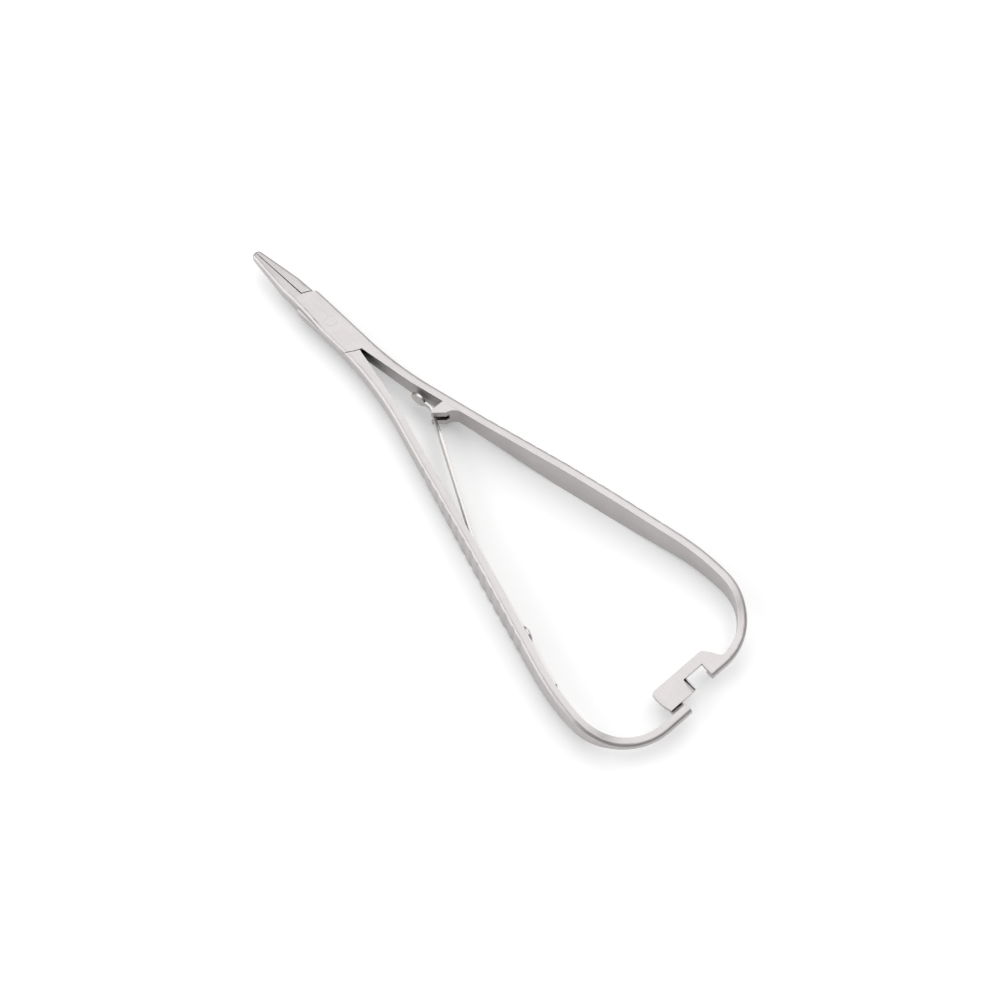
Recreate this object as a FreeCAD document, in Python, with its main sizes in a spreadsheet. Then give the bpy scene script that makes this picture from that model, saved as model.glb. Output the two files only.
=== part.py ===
import FreeCAD, Part

import math
import os

import Sketcher

# A needle holder with bowed strap handles: two crossing steel halves joined by a box lock,
# a leaf spring that opens them and a ratchet that keeps them shut.
# The halves are drawn with x forward along the middle line of the handles, from beside the
# pin, and z up from the middle plane. Each has its handle on its own side of the x axis. The
# lock and the jaws are turned a little about the apex of the lock, towards the crossing
# half's handle.

DIMENSIONS = [
    ("jaw_turn", 2.4, "jaws and lock to the middle line of the handles, degrees"),
    ("pin_to_tip", 30.5, "pin axis to the end of the jaws"),
    ("tip_half_width", 1.5, "half the width of the closed jaws at the end"),
    ("tip_round", 1.35, "corner radius of the jaw end, seen from above"),
    ("tip_thickness", 2.6, "height of the jaws at the end"),
    ("jaw_taper", 6.2, "angle of the outer side of a jaw, degrees"),
    ("jaw_blend_radius", 150, "curve from the jaw side into the side of the box"),
    ("slit_tip_gap", 0.05, "half the gap between the jaw faces at the end"),
    ("slit_root_gap", 0.15, "half the gap between the jaw faces at the lock"),
    ("box_half_width", 3.8, "half the width of the box"),
    ("box_thickness", 5.2, "height of the box"),
    ("edge_round", 1.0, "rounding of all outer edges"),
    ("plate_thickness", 1.15, "each of the two plates of the box"),
    ("lock_reach", 11.5, "pin to the steps of the lock, on the axis"),
    ("lock_side_reach", 9.2, "pin to the steps of the lock, at the sides"),
    ("lock_arc", 12, "radius of the steps, seen from above"),
    ("apex_half_gap", 0.3, "half the gap where the handles start to part"),
    ("step_gap", 0.2, "clearance at the ends of the tongue and at the steps"),
    ("slide_gap", 0.05, "clearance above and below the tongue"),
    ("pin_radius", 1.5, "joint pin"),
    ("pin_gap", 0.04, "clearance of the tongue on the pin"),
    ("shank_run", 27.5, "pin to the end of the shanks"),
    ("shank_radius", 105, "outer curve from the box into the handle"),
    ("handle_angle", 14.24, "each handle to the axis, degrees"),
    ("strap_thickness", 2.35, "handle strap, across"),
    ("ease_radius", 61, "inner radius where the strap turns along the axis"),
    ("bow_radius", 14, "inner radius of the bow"),
    ("box_bow_centre", 120.2, "pin to the centre of the bow of the box half"),
    ("box_bow_half_width", 24.8, "axis to the inside of that bow"),
    ("cross_bow_centre", 123.2, "pin to the centre of the bow of the crossing half"),
    ("cross_bow_half_width", 25.3, "axis to the inside of that bow"),
    ("rise_run", 13, "pin to where the straps start to rise, along the strap"),
    ("neck_run", 48, "pin to where the straps start to swell, along the strap"),
    ("neck_angle", 1.37, "rise of the straps up to there, degrees"),
    ("neck_radius", 20, "hollow curve of the straps' edges before the grip"),
    ("swell_angle", 4.2, "steepest rise of the edges, degrees"),
    ("swell_radius", 20, "round curve of the edges into the grip"),
    ("grip_height", 10.7, "full height of the straps"),
    ("grip_end", 86.4, "pin to the end of the flat that the straps rest on"),
    ("fall_radius", 20, "round curve of the edges behind the grip"),
    ("fall_angle", 3.0, "fall of the edges from the grip to the bow, degrees"),
    ("bow_fall_radius", 30, "round curve of the edges in the bow"),
    ("bow_fall_angle", 16.7, "steepest fall of the edges in the bow, degrees"),
    ("end_fall_radius", 20, "hollow curve of the edges into the ratchet end"),
    ("end_thickness", 2.6, "height of the ratchet ends"),
    ("groove_count", 15, "finger grooves on each handle"),
    ("groove_start", 48.5, "pin to the first groove"),
    ("groove_pitch", 3.75, "spacing of the grooves along the strap"),
    ("groove_radius", 1.75, "cutter radius"),
    ("groove_depth", 0.32, "depth of the grooves"),
    ("serration_count", 22, "cross cuts on each jaw face"),
    ("serration_pitch", 0.75, "spacing of those cuts"),
    ("serration_depth", 0.16, "depth of those cuts"),
    ("serration_margin", 1.4, "jaw end to the first cut"),
    ("nose_run", 37.4, "pin to the front face of the spring guide"),
    ("nose_reach", 1.25, "axis to the point of the spring guide"),
    ("nose_length", 3.1, "spring guide along the axis, at mid length"),
    ("nose_height", 6.4, "height of the spring guide"),
    ("nose_slot", 2.1, "slot in the spring guide"),
    ("nose_wall", 0.6, "metal left behind the slot"),
    ("nose_fillet", 3.5, "curve from the spring guide into the strap"),
    ("leaf_thickness", 0.7, "leaf spring"),
    ("leaf_height", 4.6, "leaf spring, up from edge to edge"),
    ("leaf_gap", 0.02, "leaf spring to the strap that it lies on"),
    ("leaf_tail_run", 113.6, "pin to the tail of the leaf"),
    ("leaf_bend_run", 71.5, "pin to where the leaf leaves the strap"),
    ("leaf_angle", 25.4, "free stretch of the leaf to the axis, degrees"),
    ("leaf_bend_radius", 30, "bend where the leaf leaves the strap"),
    ("leaf_neck_run", 35.6, "pin to the bend in the neck of the leaf"),
    ("leaf_neck_radius", 2.5, "bend in the neck of the leaf"),
    ("leaf_neck_height", 1.6, "neck of the leaf, up from edge to edge"),
    ("leaf_taper_run", 43.5, "pin to where the leaf starts to narrow"),
    ("leaf_head_angle", 12, "head of the leaf to the axis, degrees"),
    ("leaf_head_diameter", 4.4, "disc at the end of the leaf"),
    ("leaf_head_run", 31.6, "pin to the centre of that disc"),
    ("screw_run", 98.2, "pin to the spring screw"),
    ("screw_radius", 1.25, "shank of the spring screw"),
    ("screw_gap", 0.05, "clearance of the leaf round the screw"),
    ("screw_depth", 1.7, "how far the screw goes into the strap"),
    ("screw_head_radius", 2.35, "head of the spring screw"),
    ("screw_head_height", 1.15, "crown of that head over the leaf"),
    ("screw_rim", 0.45, "straight rim of that head"),
    ("screw_slot_width", 0.6, "driver slot"),
    ("screw_slot_depth", 0.5, "driver slot"),
    ("lap_gap", 0.2, "between the two ratchet plates"),
    ("ratchet_front", 129.8, "pin to the front edges of both ratchet plates"),
    ("arm_width", 2.6, "narrow arm of the upper plate, along the axis"),
    ("plate_rear", 136.2, "pin to the rear edge of the upper plate"),
    ("plate_reach", 8.1, "how far the upper plate reaches past the axis"),
    ("box_hook", 6.3, "axis to the end of the strap of the box half"),
    ("cross_hook", 3.7, "axis to the end of the strap of the crossing half"),
    ("catch_reach", 1.3, "how far the lower plate reaches past the axis"),
    ("catch_rear", 135.8, "pin to the rear edge of the catch"),
    ("tooth_count", 5, "ratchet teeth on each plate"),
    ("tooth_pitch", 1.3, "spacing of the ratchet teeth"),
    ("tooth_depth", 0.4, "depth of the ratchet teeth"),
    ("plate_side", 0.2, "axis to the side of the upper plate beside the catch"),
    ("relief_radius", 3.0, "hollow in that side, over the catch"),
    ("relief_depth", 0.35, "depth of that hollow"),
    ("hook_fillet", 2.6, "curve from the strap of the box half into its plate"),
]

doc = FreeCAD.newDocument("needle_holder")
dims = doc.addObject("Spreadsheet::Sheet", "dims")
for row, (alias, value, note) in enumerate(DIMENSIONS, start=1):
    dims.set(f"A{row}", str(value))
    dims.setAlias(f"A{row}", alias)
    dims.set(f"B{row}", note)
doc.recompute()

# Places worked out from the driving dimensions, the same way for both halves.
LOCK_PLACES = [
    ("tip_arc_x", "dims.pin_to_tip - dims.tip_round"),
    ("tip_arc_h", "dims.tip_half_width - dims.tip_round"),
    ("jaw_start_x", "tip_arc_x + dims.tip_round * sin(dims.jaw_taper)"),
    ("jaw_start_h", "tip_arc_h + dims.tip_round * cos(dims.jaw_taper)"),
    ("jaw_corner_x", "jaw_start_x - (dims.box_half_width - jaw_start_h) / tan(dims.jaw_taper)"),
    ("jaw_tangent", "dims.jaw_blend_radius * tan(dims.jaw_taper / 2)"),
    ("jaw_end_x", "jaw_corner_x + jaw_tangent * cos(dims.jaw_taper)"),
    ("jaw_end_h", "dims.box_half_width - jaw_tangent * sin(dims.jaw_taper)"),
    ("jaw_side_x", "jaw_corner_x - jaw_tangent"),
    ("lock_x", "dims.lock_reach * (cos(dims.jaw_turn) - 1)"),
    ("lock_h", "dims.lock_reach * sin(dims.jaw_turn)"),
    ("box_lean", "-dims.jaw_turn"),
    ("cross_lean", "dims.jaw_turn"),
    ("slot_height", "dims.box_thickness - 2 * dims.plate_thickness"),
    ("tongue_height", "slot_height - 2 * dims.slide_gap"),
    ("clear_side", "dims.box_half_width + 1"),
    ("clear_reach", "dims.lock_reach + 1"),
    ("outer_ease", "dims.ease_radius + dims.strap_thickness"),
    ("grip_z", "dims.grip_height / 2"),
    ("box_z", "dims.box_thickness / 2"),
    ("end_z", "dims.end_thickness / 2"),
    ("neck_z", "box_z + (dims.neck_run - dims.rise_run) * tan(dims.neck_angle)"),
    ("hollow_run", "dims.neck_run + dims.neck_radius"
                   " * (sin(dims.swell_angle) - sin(dims.neck_angle))"),
    ("hollow_z", "neck_z + dims.neck_radius * (cos(dims.neck_angle) - cos(dims.swell_angle))"),
    ("swell_z", "grip_z - dims.swell_radius * (1 - cos(dims.swell_angle))"),
    ("swell_run", "hollow_run + (swell_z - hollow_z) / tan(dims.swell_angle)"),
    ("grip_run", "swell_run + dims.swell_radius * sin(dims.swell_angle)"),
    ("clear_z", "grip_z + 1"),
    ("fall_run", "dims.grip_end + dims.fall_radius * sin(dims.fall_angle)"),
    ("fall_z", "grip_z - dims.fall_radius * (1 - cos(dims.fall_angle))"),
    ("end_fall_z", "end_z + dims.end_fall_radius * (1 - cos(dims.bow_fall_angle))"),
]
HALF_PLACES = [
    ("turn_x", "dims.{half}_bow_centre + dims.bow_radius"),
    ("rear_x", "{half}_turn_x + dims.strap_thickness"),
    ("turn_h", "dims.{half}_bow_half_width - dims.bow_radius"),
    ("side_h", "dims.{half}_bow_half_width + dims.strap_thickness"),
    ("ease_x", "dims.{half}_bow_centre - dims.ease_radius * sin(dims.handle_angle)"),
    ("ease_h", "dims.{half}_bow_half_width - dims.ease_radius * (1 - cos(dims.handle_angle))"),
    ("out_x", "dims.{half}_bow_centre - outer_ease * sin(dims.handle_angle)"),
    ("out_h", "{half}_side_h - outer_ease * (1 - cos(dims.handle_angle))"),
    ("shank_h", "{half}_ease_h - ({half}_ease_x - dims.shank_run) * tan(dims.handle_angle)"),
    ("corner_x", "({half}_out_x * tan(dims.handle_angle) - {half}_out_h"
                 " + dims.box_half_width / cos({half}_lean) + dims.lock_reach * tan({half}_lean))"
                 " / (tan(dims.handle_angle) + tan({half}_lean))"),
    ("corner_h", "{half}_out_h - ({half}_out_x - {half}_corner_x) * tan(dims.handle_angle)"),
    ("tangent", "dims.shank_radius * tan((dims.handle_angle + {half}_lean) / 2)"),
    ("blend_x", "{half}_corner_x + {half}_tangent * cos(dims.handle_angle)"),
    ("blend_h", "{half}_corner_h + {half}_tangent * sin(dims.handle_angle)"),
    ("level_x", "{half}_corner_x - {half}_tangent * cos({half}_lean)"),
    ("level_h", "{half}_corner_h + {half}_tangent * sin({half}_lean)"),
    ("bow_z", "fall_z - (dims.{half}_bow_centre - fall_run) * tan(dims.fall_angle)"),
    ("bow_fall_run", "dims.{half}_bow_centre + dims.bow_fall_radius"
                     " * (sin(dims.bow_fall_angle) - sin(dims.fall_angle))"),
    ("bow_fall_z", "{half}_bow_z - dims.bow_fall_radius"
                   " * (cos(dims.fall_angle) - cos(dims.bow_fall_angle))"),
    ("end_fall_run", "{half}_bow_fall_run"
                     " + ({half}_bow_fall_z - end_fall_z) / tan(dims.bow_fall_angle)"),
    ("end_run", "{half}_end_fall_run + dims.end_fall_radius * sin(dims.bow_fall_angle)"),
    ("groove_h", "{half}_shank_h + (dims.groove_start - dims.shank_run) * tan(dims.handle_angle)"
                 " + (dims.strap_thickness + dims.groove_radius - dims.groove_depth)"
                 " / cos(dims.handle_angle)"),
]
FRAME_PLACES = [
    ("front_x", "(tip_arc_x + dims.lock_reach) * cos(dims.jaw_turn) - dims.lock_reach"
                " + tip_arc_h * sin(dims.jaw_turn) + dims.tip_round"),
    ("seat_x", "(cross_rear_x - front_x) / 2"),
    ("seat_y", "(box_side_h - cross_side_h) / 2"),
    ("middle_z", "dims.grip_height / 2"),
    ("span", "2 * (box_side_h + cross_side_h)"),
    ("lap_z", "dims.lap_gap / 2"),
    ("plate_height", "dims.end_thickness / 2 - lap_z"),
    ("arm_rear", "dims.ratchet_front + dims.arm_width"),
    ("nose_root_h", "box_shank_h + (dims.nose_run - dims.shank_run) * tan(dims.handle_angle)"),
    ("leaf_offset", "(dims.leaf_gap + dims.leaf_thickness / 2) / cos(dims.handle_angle)"),
    ("leaf_bend_h", "cross_shank_h + (dims.leaf_bend_run - dims.shank_run)"
                    " * tan(dims.handle_angle) - leaf_offset"),
    ("leaf_curl", "dims.ease_radius - dims.leaf_gap - dims.leaf_thickness / 2"),
    ("leaf_curl_run", "dims.cross_bow_centre - leaf_curl * sin(dims.handle_angle)"),
    ("leaf_curl_h", "dims.cross_bow_half_width - dims.ease_radius"
                    " + leaf_curl * cos(dims.handle_angle)"),
    ("leaf_neck_h", "leaf_bend_h - (dims.leaf_bend_run - dims.leaf_neck_run)"
                    " * tan(dims.leaf_angle)"),
    ("screw_h", "cross_shank_h + (dims.screw_run - dims.shank_run) * tan(dims.handle_angle)"),
]

places = doc.addObject("Spreadsheet::Sheet", "places")
place_rows = list(LOCK_PLACES)
for half in ("box", "cross"):
    place_rows += [(f"{half}_{name}", rule.format(half=half)) for name, rule in HALF_PLACES]
place_rows += FRAME_PLACES
for row, (alias, rule) in enumerate(place_rows, start=1):
    places.set(f"A{row}", "=" + rule)
    places.setAlias(f"A{row}", alias)
doc.recompute()


def value(rule):
    """Number that an expression on the two sheets has now."""
    return float(dims.evalExpression(rule))


def flipped(rule, side):
    return rule if side > 0 else f"-({rule})"


def role_plane(body, role):
    return next(item for item in body.Origin.OriginFeatures if item.Role == role)


def new_sketch(body, name, role, lift=None):
    """Sketch on one of the body's own origin planes, raised by the expression lift."""
    sketch = body.newObject("Sketcher::SketchObject", name)
    sketch.AttachmentSupport = [(role_plane(body, role), "")]
    sketch.MapMode = "FlatFace"
    if lift:
        sketch.setExpression("AttachmentOffset.Base.z", lift)
    return sketch


def bind(sketch, kind, *where, rule):
    number = sketch.addConstraint(Sketcher.Constraint(kind, *where, value(rule)))
    sketch.setExpression(f"Constraints[{number}]", rule)


def arc_between(first, last, radius, turn):
    """Shorter arc from first to last, turning left for turn 1 and right for turn -1."""
    chord = last - first
    across = FreeCAD.Vector(-chord.y, chord.x, 0).normalize()
    rise = math.sqrt(max(radius ** 2 - (chord.Length / 2) ** 2, 0))
    centre = (first + last) / 2 + across * (rise * turn)
    ends = (first, last) if turn > 0 else (last, first)
    angles = [math.atan2(end.y - centre.y, end.x - centre.x) for end in ends]
    circle = Part.Circle(centre, FreeCAD.Vector(0, 0, 1), radius)
    return Part.ArcOfCircle(circle, *angles)


def outline(sketch, corners):
    """Closed outline. A corner is (x rule, y rule), with (radius rule, turn) added where an
    arc, not a line, leads on to the next corner. Every corner and radius is bound."""
    points = [FreeCAD.Vector(value(corner[0]), value(corner[1]), 0) for corner in corners]
    starts, ends = [], []
    for index, corner in enumerate(corners):
        first = points[index]
        last = points[(index + 1) % len(points)]
        if len(corner) == 2:
            edge = sketch.addGeometry(Part.LineSegment(first, last), False)
            starts.append((edge, 1))
            ends.append((edge, 2))
            continue
        radius_rule, turn = corner[2:]
        edge = sketch.addGeometry(arc_between(first, last, value(radius_rule), turn), False)
        starts.append((edge, 1 if turn > 0 else 2))
        ends.append((edge, 2 if turn > 0 else 1))
    for index, corner in enumerate(corners):
        sketch.addConstraint(Sketcher.Constraint("Coincident", *ends[index - 1], *starts[index]))
        bind(sketch, "DistanceX", *starts[index], rule=corner[0])
        bind(sketch, "DistanceY", *starts[index], rule=corner[1])
    for index, corner in enumerate(corners):
        if len(corner) > 2:
            bind(sketch, "Radius", starts[index][0], rule=corner[2])
    return [mid_point(sketch.Geometry[edge]) for edge, end in starts]


def mid_point(curve):
    return curve.value((curve.FirstParameter + curve.LastParameter) / 2)


def circle_at(sketch, x_rule, y_rule, radius_rule):
    circle = Part.Circle(FreeCAD.Vector(value(x_rule), value(y_rule), 0),
                         FreeCAD.Vector(0, 0, 1), value(radius_rule))
    edge = sketch.addGeometry(circle, False)
    bind(sketch, "DistanceX", edge, 3, rule=x_rule)
    bind(sketch, "DistanceY", edge, 3, rule=y_rule)
    bind(sketch, "Radius", edge, rule=radius_rule)


def feature(body, kind, name, sketch, **settings):
    item = body.newObject(f"PartDesign::{kind}", name)
    item.Profile = sketch
    rules = settings.pop("rules", {})
    for key, setting in settings.items():
        setattr(item, key, setting)
    for key, rule in rules.items():
        item.setExpression(key, rule)
    sketch.Visibility = False
    doc.recompute()
    return item


def pad_both_ways(body, name, sketch, length):
    return feature(body, "Pad", name, sketch, SideType="Symmetric", rules={"Length": length})


def cut_both_ways(body, name, sketch, length):
    return feature(body, "Pocket", name, sketch, SideType="Symmetric", rules={"Length": length})


def cut_up(body, name, sketch, length):
    """Pocket that goes up from its sketch, away from the sketch's own depth direction."""
    return feature(body, "Pocket", name, sketch, Reversed=True, rules={"Length": length})


def repeat(body, name, original, sketch, axis, length, count, backward=False):
    """Row of copies of a feature along one of its sketch's axes."""
    row = body.newObject("PartDesign::LinearPattern", name)
    row.Originals = [original]
    row.Direction = (sketch, [axis])
    row.Reversed = backward
    row.setExpression("Length", length)
    row.setExpression("Occurrences", count)
    body.Tip = row
    doc.recompute()
    return row


def mirror_below(body, name, original):
    mirror = body.newObject("PartDesign::Mirrored", name)
    mirror.Originals = [original]
    mirror.MirrorPlane = (role_plane(body, "XY_Plane"), [""])
    body.Tip = mirror
    doc.recompute()
    return mirror


def round_edges(body, name, base, side_points, radius_rule):
    """Rounds the upper and lower edges of the upright walls that pass through the points."""
    marks = [Part.Vertex(point) for point in side_points]
    walls = [face for face in base.Shape.Faces
             if any(face.distToShape(mark)[0] < 1e-4 for mark in marks)]
    names = []
    for number, edge in enumerate(base.Shape.Edges, start=1):
        heights = [vertex.Point.z for vertex in edge.Vertexes]
        level = min(heights) * max(heights) > 0
        if level and any(edge.isSame(other) for wall in walls for other in wall.Edges):
            crossing = edge.tangentAt((edge.FirstParameter + edge.LastParameter) / 2)
            if abs(crossing.z) < 0.9:
                names.append(f"Edge{number}")
    fillet = body.newObject("PartDesign::Fillet", name)
    fillet.Base = (base, names)
    fillet.setExpression("Radius", radius_rule)
    doc.recompute()
    return fillet


def cut_above(body, name, corners, turn=0):
    """Cuts away what is above a line of corners in a side view, and the same below. Turn
    swings the side view round the pin, to look square at a strap."""
    sketch = new_sketch(body, f"{name}_elevation", "XZ_Plane")
    swing = FreeCAD.Rotation(FreeCAD.Vector(0, 1, 0), -turn)
    sketch.AttachmentOffset = FreeCAD.Placement(FreeCAD.Vector(0, 0, 0), swing)
    first, last = corners[0], corners[-1]
    outline(sketch, corners + [(last[0], "places.clear_z"), (first[0], "places.clear_z")])
    upper = cut_both_ways(body, name, sketch, "places.span")
    mirror_below(body, f"{name}_below", upper)


def shape_heights(body, half, side):
    """Gives a half its height: thin at the jaw end, level over the box, swelling along the
    strap to the grip and thinning down round the bow to the ratchet end."""
    place = f"places.{half}_"
    cut_above(body, f"{half}_jaw_and_box", [
        ("-dims.lock_reach - 0.5", "places.box_z"),
        ("dims.lock_reach", "places.box_z"),
        ("dims.pin_to_tip", "dims.tip_thickness / 2"),
        ("dims.pin_to_tip + 1", "dims.tip_thickness / 2"),
    ])
    cut_above(body, f"{half}_strap", [
        ("-places.grip_run - 8", "places.grip_z"),
        ("-places.grip_run", "places.grip_z", "dims.swell_radius", -1),
        ("-places.swell_run", "places.swell_z"),
        ("-places.hollow_run", "places.hollow_z", "dims.neck_radius", 1),
        ("-dims.neck_run", "places.neck_z"),
        ("-dims.rise_run", "places.box_z"),
        ("-dims.lock_reach + 1.5", "places.box_z"),
    ], side * value("dims.handle_angle"))
    cut_above(body, f"{half}_bow", [
        (f"-{place}rear_x - 1", "places.end_z"),
        (f"-{place}end_run", "places.end_z", "dims.end_fall_radius", 1),
        (f"-{place}end_fall_run", "places.end_fall_z"),
        (f"-{place}bow_fall_run", place + "bow_fall_z", "dims.bow_fall_radius", -1),
        (f"-dims.{half}_bow_centre", place + "bow_z"),
        ("-places.fall_run", "places.fall_z", "dims.fall_radius", -1),
        ("-dims.grip_end", "places.grip_z"),
        ("-places.grip_run - 3", "places.grip_z"),
    ])


def plan_corners(half, side, trim):
    """Corners of a half seen from above, from the slit at the jaw end round the jaw, the
    lock, the inside of the handle, its end and back along the outside. Trim shortens the
    lock, for the tongue."""
    place = f"places.{half}_"
    reach = f"dims.lock_reach - {trim}"
    side_reach = f"dims.lock_side_reach - {trim}"
    spots = [
        ("dims.pin_to_tip", "-dims.slit_tip_gap"),
        ("dims.pin_to_tip", "-places.tip_arc_h", "dims.tip_round", -1),
        ("places.jaw_start_x", "-places.jaw_start_h"),
        ("places.jaw_end_x", "-places.jaw_end_h", "dims.jaw_blend_radius", 1),
        ("places.jaw_side_x", "-dims.box_half_width"),
        (f"-({side_reach})", "-dims.box_half_width", "dims.lock_arc", -1),
        (f"-({reach})", "dims.apex_half_gap"),
        ("-dims.shank_run", place + "shank_h"),
        (f"-{place}ease_x", place + "ease_h", "dims.ease_radius", 1),
        (f"-dims.{half}_bow_centre", f"dims.{half}_bow_half_width", "dims.bow_radius", 1),
        (f"-{place}turn_x", place + "turn_h"),
        (f"-{place}turn_x", f"dims.{half}_hook"),
        (f"-{place}rear_x", f"dims.{half}_hook"),
        (f"-{place}rear_x", place + "turn_h", "dims.bow_radius + dims.strap_thickness", -1),
        (f"-dims.{half}_bow_centre", place + "side_h", "places.outer_ease", -1),
        (f"-{place}out_x", place + "out_h"),
        (f"-{place}blend_x", place + "blend_h", "dims.shank_radius", 1),
        (f"-{place}level_x", place + "level_h"),
        (side_reach, "dims.box_half_width", "dims.lock_arc", -1),
        (reach, "-dims.slit_root_gap"),
    ]
    if half == "cross":
        spots[5] = spots[5][:2]
        spots[18] = spots[18][:2]
    corners = []
    for index, spot in enumerate(spots):
        arc = (spot[2], spot[3] * side) if len(spot) > 2 else ()
        place = (spot[0], flipped(spot[1], side))
        on_lock = index < 7 or index > 17
        corners.append((turned(*place) if on_lock else place) + arc)
    return corners


def turned(x_rule, y_rule):
    """Place on the jaws or the lock, which are turned about the apex of the lock."""
    run = f"(({x_rule}) + dims.lock_reach)"
    return (f"{run} * cos(dims.jaw_turn) - ({y_rule}) * sin(dims.jaw_turn) - dims.lock_reach",
            f"{run} * sin(dims.jaw_turn) + ({y_rule}) * cos(dims.jaw_turn)")


def turn_with_lock(sketch):
    """Turns a sketch that is drawn about the pin with the jaws and the lock."""
    turn = FreeCAD.Rotation(FreeCAD.Vector(0, 0, 1), value("dims.jaw_turn"))
    sketch.AttachmentOffset = FreeCAD.Placement(sketch.AttachmentOffset.Base, turn)
    sketch.setExpression("AttachmentOffset.Base.x", "places.lock_x")
    sketch.setExpression("AttachmentOffset.Base.y", "places.lock_h")


def rough_half(half, side, trim):
    """Half with its full outline, before the lock is cut into it."""
    body = doc.addObject("PartDesign::Body", f"{half}_half")
    plan = new_sketch(body, f"{half}_plan", "XY_Plane")
    middles = outline(plan, plan_corners(half, side, trim))
    pad_both_ways(body, f"{half}_blank", plan, "dims.grip_height + 1")
    shape_heights(body, half, side)
    outer_walls = middles[1:5] + middles[13:18]
    round_edges(body, f"{half}_edges", body.Tip, outer_walls, "dims.edge_round")
    return body


def finger_grooves(body, half, side):
    """Row of shallow hollows across the outside of the strap."""
    sketch = new_sketch(body, f"{half}_groove_plan", "XY_Plane")
    circle_at(sketch, "-dims.groove_start", flipped(f"places.{half}_groove_h", side),
              "dims.groove_radius")
    slope = value("tan(dims.handle_angle)") * side
    first = FreeCAD.Vector(0, 0, 0)
    guide = sketch.addGeometry(Part.LineSegment(first, FreeCAD.Vector(-10, 10 * slope, 0)), True)
    sketch.addConstraint(Sketcher.Constraint("Coincident", guide, 1, -1, 1))
    bind(sketch, "DistanceX", guide, 2, rule="-10")
    bind(sketch, "DistanceY", guide, 2, rule=flipped("10 * tan(dims.handle_angle)", side))
    groove = cut_both_ways(body, f"{half}_groove", sketch, "dims.grip_height")
    repeat(body, f"{half}_grooves", groove, sketch, "Axis0",
           "(dims.groove_count - 1) * dims.groove_pitch", "dims.groove_count")


def jaw_serrations(body, half, side):
    """Fine cuts across the gripping face of a jaw."""
    sketch = new_sketch(body, f"{half}_serration_plan", "XY_Plane")
    turn_with_lock(sketch)
    start = "dims.pin_to_tip - dims.serration_margin"
    wide = "dims.serration_pitch * 0.3"
    deep = "dims.slit_tip_gap + dims.serration_depth"
    outline(sketch, [
        (f"{start} - {wide}", "0"),
        (f"{start} + {wide}", "0"),
        (start, flipped(deep, -side)),
    ])
    cut = cut_both_ways(body, f"{half}_serration", sketch, "dims.box_thickness")
    repeat(body, f"{half}_serrations", cut, sketch, "H_Axis",
           "(dims.serration_count - 1) * dims.serration_pitch", "dims.serration_count",
           backward=True)


def ratchet_teeth(body, half, lift, up, first_y):
    """Row of saw teeth along y, cut into the face of a ratchet plate."""
    sketch = new_sketch(body, f"{half}_tooth_plan", "YZ_Plane", "-dims.plate_rear - 0.2")
    depth = "dims.tooth_depth" if up else "-dims.tooth_depth"
    outline(sketch, [
        (first_y, lift),
        (f"{first_y} + dims.tooth_pitch * 0.85", lift),
        (first_y, f"{lift} + {depth}"),
    ])
    tooth = cut_up(body, f"{half}_tooth", sketch, "dims.plate_rear - dims.ratchet_front + 2")
    repeat(body, f"{half}_teeth", tooth, sketch, "H_Axis",
           "(dims.tooth_count - 1) * dims.tooth_pitch", "dims.tooth_count")


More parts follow.
